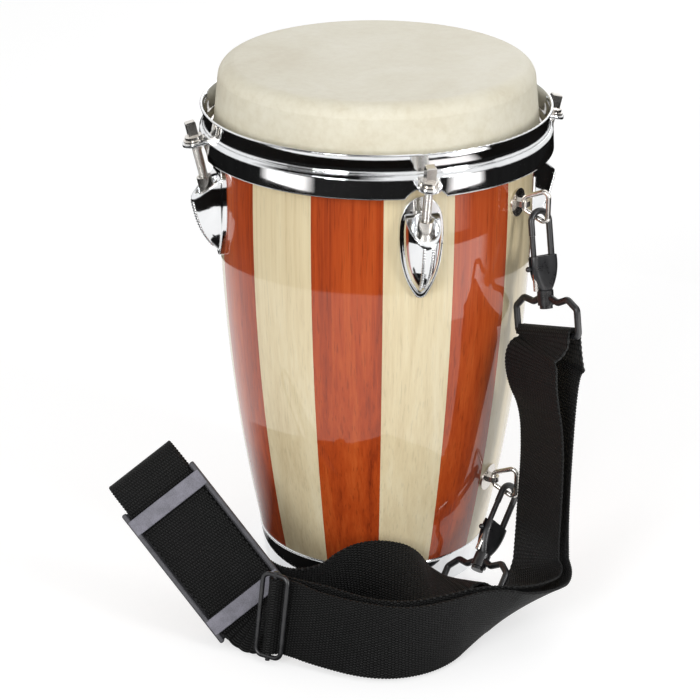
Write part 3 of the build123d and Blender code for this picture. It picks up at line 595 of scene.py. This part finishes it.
def castLine(node, offsets, heights, direction):
    # points where level rays, sent inwards beside the lug's middle, meet its casing, and the normals there
    start = Vector(direction) * rope["rayStart"] * mm
    aside = Vector((-direction[1], direction[0], 0))
    casts = [
        node.ray_cast(start + aside * offset + Vector((0, 0, rise)), -Vector(direction))
        for offset, rise in zip(offsets, heights)
    ]
    hits = [(spot, normal) for found, spot, normal, _ in casts if found]
    return np.array([spot for spot, _ in hits]), np.array([normal for _, normal in hits])


def lugRope(name, node, direction, sign):
    # casing line - sink * normal, then beads * (cos * aside + sin * normal) round it
    share = np.linspace(0.0, 1.0, rope["rays"])
    offsets = sign * (rope["gapTop"] + (rope["gapFoot"] - rope["gapTop"]) * share ** 2) * mm
    heights = (rope["top"] + (rope["foot"] - rope["top"]) * share) * mm
    coarse, normals = castLine(node, offsets, heights, direction)
    run, (line, lift) = evenly(coarse, [normals], (rope["top"] - rope["foot"]) / rope["rows"] * mm)
    ahead = unit(np.gradient(line, axis=0))
    lift = squareTo(lift, ahead)
    aside = np.cross(ahead, lift)
    turn = np.linspace(0.0, 2 * pi, rope["around"], endpoint=False)
    strands = np.abs(np.sin(pi * run[:, None] / (rope["twist"] * mm) + turn / 2))
    ends = np.sin(pi * np.linspace(rope["tip"], 1 - rope["tip"], len(run))) * rope["taper"]
    beads = rope["radius"] * mm * (rope["waist"] + (1 - rope["waist"]) * strands)
    beads = beads * np.sqrt(np.clip(ends, 0, 1))[:, None]
    grid = (line - lift * rope["sink"] * mm)[:, None]
    grid = grid + aside[:, None] * (beads * np.cos(turn))[..., None]
    grid = grid + lift[:, None] * (beads * np.sin(turn))[..., None]
    meshPiece(name, grid.reshape(-1, 3), tubeFaces(*grid.shape[:2]), finishes["rope"], "shell")


lugSides = {"front": (0, -1, 0), "right": (1, 0, 0), "rear": (0, 1, 0), "left": (-1, 0, 0)}
for lugName, direction in lugSides.items():
    for lineName, sign in (("A", -1), ("B", 1)):
        lugRope("lugRope" + lugName.capitalize() + lineName, nodes["lug_" + lugName], direction, sign)
print("roped lines on the lugs")


# studio: pale floor, soft boxes, and dark and glowing cards that show only in plating and lacquer;
# flags and bands are given by the (radius, height) of their two edges, in metres
studio = {
    "floor": 6.0, "floorHeight": -0.0006, "floorGlow": 0.60, "floorTone": 0.50, "floorDust": 1.01,
    "worldLight": 0.50, "aim": (0, 0, 0.16), "uneven": 0.04,
    "ringSteps": 96, "bandSteps": 33, "fadeSteps": 7.0,
}
ringFlags = {
    "floorFlag": ((0.58, 0.0004), (3.0, 0.0004)),
    "hoopFlag": ((0.20, 0.200), (0.20, 0.262)),
}
bands = {
    "footFlag": {
        "turns": (-118.0, 38.0), "ends": ((0.085, 0.0004), (0.240, 0.0004)), "tone": 0.012, "light": 0.0,
    },
    "skyFlag": {
        "turns": (-85.0, 8.0), "ends": ((0.5, 0.50), (0.5, 0.92)), "tone": 0.012, "light": 0.0,
    },
    "hoopGlowLeft": {
        "turns": (-57.0, -27.0), "ends": ((0.198, 0.2755), (0.198, 0.2850)), "tone": 0.8, "light": 1.1,
    },
    "hoopGlowRight": {
        "turns": (32.0, 53.0), "ends": ((0.198, 0.2755), (0.198, 0.2850)), "tone": 0.8, "light": 1.1,
    },
    "collarGlowRight": {
        "turns": (20.0, 55.0), "ends": ((0.198, 0.226), (0.198, 0.262)), "tone": 0.8, "light": 0.85,
    },
    "woodGlowRight": {
        "turns": (38.0, 68.0), "ends": ((0.198, 0.150), (0.198, 0.216)), "tone": 0.8, "light": 2.2,
    },
}
darkCards = {
    "cardLeft": [(-1.6, -1.5, 0.0), (-1.9, -0.6, 0.0), (-1.9, -0.6, 0.9), (-1.6, -1.5, 0.9)],
    "cardTop": [(-0.7, -0.7, 1.4), (0.02, -0.7, 1.4), (0.02, 0.6, 1.4), (-0.7, 0.6, 1.4)],
    "cardRight": [(1.9, -0.9, 0.0), (1.7, -1.7, 0.0), (1.7, -1.7, 1.0), (1.9, -0.9, 1.0)],
}
oneQuad = [(0, 1, 2, 3)]


def stageThing(name, points, faces, finish):
    mesh = bpy.data.meshes.new(name)
    mesh.from_pydata(points, [], faces)
    thing = bpy.data.objects.new(name, mesh)
    bpy.context.collection.objects.link(thing)
    dress(thing, finish)
    return thing


def onlyMirrored(thing):
    # it shows in plated and lacquered surfaces, but casts no shade and hides from the camera
    thing.visible_camera = False
    thing.visible_diffuse = False
    thing.visible_shadow = False
    thing.visible_transmission = False


def sweptPoints(ends, turn):
    # radius * cos, radius * sin and height, for each of the two ends at every turn
    ends = np.array(ends)
    heights = np.broadcast_to(ends[:, 1:], (2, len(turn)))
    grid = np.stack([ends[:, :1] * np.cos(turn), ends[:, :1] * np.sin(turn), heights], axis=-1)
    return grid.reshape(-1, 3).tolist()


floorFinish, floorSurface = newFinish("paleFloor")
path = addNode(floorFinish, "ShaderNodeLightPath", {})
seen = calc(floorFinish, "MAXIMUM", path.outputs["Is Camera Ray"], path.outputs["Is Glossy Ray"])
seen = calc(floorFinish, "MAXIMUM", seen, path.outputs["Is Transmission Ray"])
dust = noise(floorFinish, objectPoints(floorFinish), 3.0, rough=0.5)
floorTones = [(0.3, grey(studio["floorTone"])), (0.7, grey(studio["floorTone"] * studio["floorDust"]))]
joinSockets(floorFinish, floorSurface, {
    "Base Color": ramp(floorFinish, dust, floorTones),
    "Roughness": 0.9, "Specular IOR Level": 0.1, "Emission Color": (1, 1, 1, 1),
    "Emission Strength": calc(floorFinish, "MULTIPLY", seen, studio["floorGlow"]),
})
far, low = studio["floor"], studio["floorHeight"]
floorCorners = [(-far, -far, low), (far, -far, low), (far, far, low), (-far, far, low)]
stageThing("floor", floorCorners, oneQuad, floorFinish)

darkFinish, darkSurface = newFinish("darkCard")
felt = noise(darkFinish, objectPoints(darkFinish), 8.0, rough=0.5)
joinSockets(darkFinish, darkSurface, {
    "Base Color": ramp(darkFinish, felt, [(0.3, grey(0.010)), (0.7, grey(0.014))]),
    "Roughness": 0.95, "Specular IOR Level": 0.0,
})
for name, ends in ringFlags.items():
    turn = np.linspace(0.0, 2 * pi, studio["ringSteps"], endpoint=False)
    onlyMirrored(stageThing(name, sweptPoints(ends, turn), ringQuads(2, len(turn)), darkFinish))


def fadingFinish(name, tone, light):
    # a card's finish that thins out to nothing towards the ends of its band
    finish, surface = newFinish(name)
    grain = noise(finish, objectPoints(finish), 6.0, rough=0.5)
    fade = addNode(finish, "ShaderNodeAttribute", {}, attribute_name="fade").outputs["Fac"]
    glow = spread(finish, grain, light * (1 - studio["uneven"]), light * (1 + studio["uneven"]))
    joinSockets(finish, surface, {
        "Base Color": (*grey(tone), 1.0), "Roughness": 0.95, "Specular IOR Level": 0.0,
        "Emission Color": (1, 1, 1, 1), "Emission Strength": glow, "Alpha": fade,
    })
    return finish


def fadingBand(name, band):
    # swept over part of a turn, in degrees from the camera's side; fade is 0 at both ends and 1 between
    cameraTurn = np.degrees(np.arctan2(place.y, place.x))
    turn = np.radians(np.linspace(*band["turns"], studio["bandSteps"]) + cameraTurn)
    step = np.arange(len(turn) - 1)
    quads = np.stack([step, step + 1, step + 1 + len(turn), step + len(turn)], axis=-1)
    finish = fadingFinish(name, band["tone"], band["light"])
    thing = stageThing(name, sweptPoints(band["ends"], turn), quads.tolist(), finish)
    fromEnd = np.minimum(np.arange(len(turn)), np.arange(len(turn))[::-1])
    fade = np.clip(fromEnd / studio["fadeSteps"], 0.0, 1.0)
    thing.data.attributes.new("fade", "FLOAT", "POINT").data.foreach_set("value", np.tile(fade, 2))
    onlyMirrored(thing)


for name, band in bands.items():
    fadingBand(name, band)
for name, corners in darkCards.items():
    onlyMirrored(stageThing(name, corners, oneQuad, darkFinish))

softBoxes = {
    "boxLeft": {"place": (-1.6, -1.6, 0.95), "size": (0.9, 1.3), "power": 31.0},
    "boxRight": {"place": (1.4, -1.9, 0.80), "size": (0.6, 1.3), "power": 25.0},
    "boxTop": {"place": (0.1, 0.3, 2.2), "size": (1.6, 1.6), "power": 3.0},
    "boxBack": {"place": (0.9, 1.7, 1.3), "size": (1.2, 1.2), "power": 7.0},
}
for name, box in softBoxes.items():
    lamp = bpy.data.lights.new(name, "AREA")
    lamp.shape = "RECTANGLE"
    lamp.size, lamp.size_y = box["size"]
    lamp.energy = box["power"]
    thing = bpy.data.objects.new(name, lamp)
    thing.location = box["place"]
    thing.rotation_euler = (Vector(studio["aim"]) - Vector(box["place"])).to_track_quat("-Z", "Y").to_euler()
    bpy.context.collection.objects.link(thing)

# the air is white where the camera or a mirror sees it, and gives less light than that elsewhere
world = bpy.data.worlds.new("studioAir")
bpy.context.scene.world = world
world.use_nodes = True
air = world.node_tree.nodes
airLinks = world.node_tree.links
lit = air["Background"]
lightPath = air.new("ShaderNodeLightPath")
strength = air.new("ShaderNodeMapRange")
seenAir = air.new("ShaderNodeMath")
seenAir.operation = "MAXIMUM"
airLinks.new(lightPath.outputs["Is Camera Ray"], seenAir.inputs[0])
airLinks.new(lightPath.outputs["Is Glossy Ray"], seenAir.inputs[1])
airLinks.new(seenAir.outputs[0], strength.inputs[0])
strength.inputs[3].default_value = studio["worldLight"]
strength.inputs[4].default_value = 1.0
airLinks.new(strength.outputs[0], lit.inputs[1])
lit.inputs[0].default_value = (*white, 1.0)
bpy.context.scene.view_settings.view_transform = "Standard"
print("studio set")
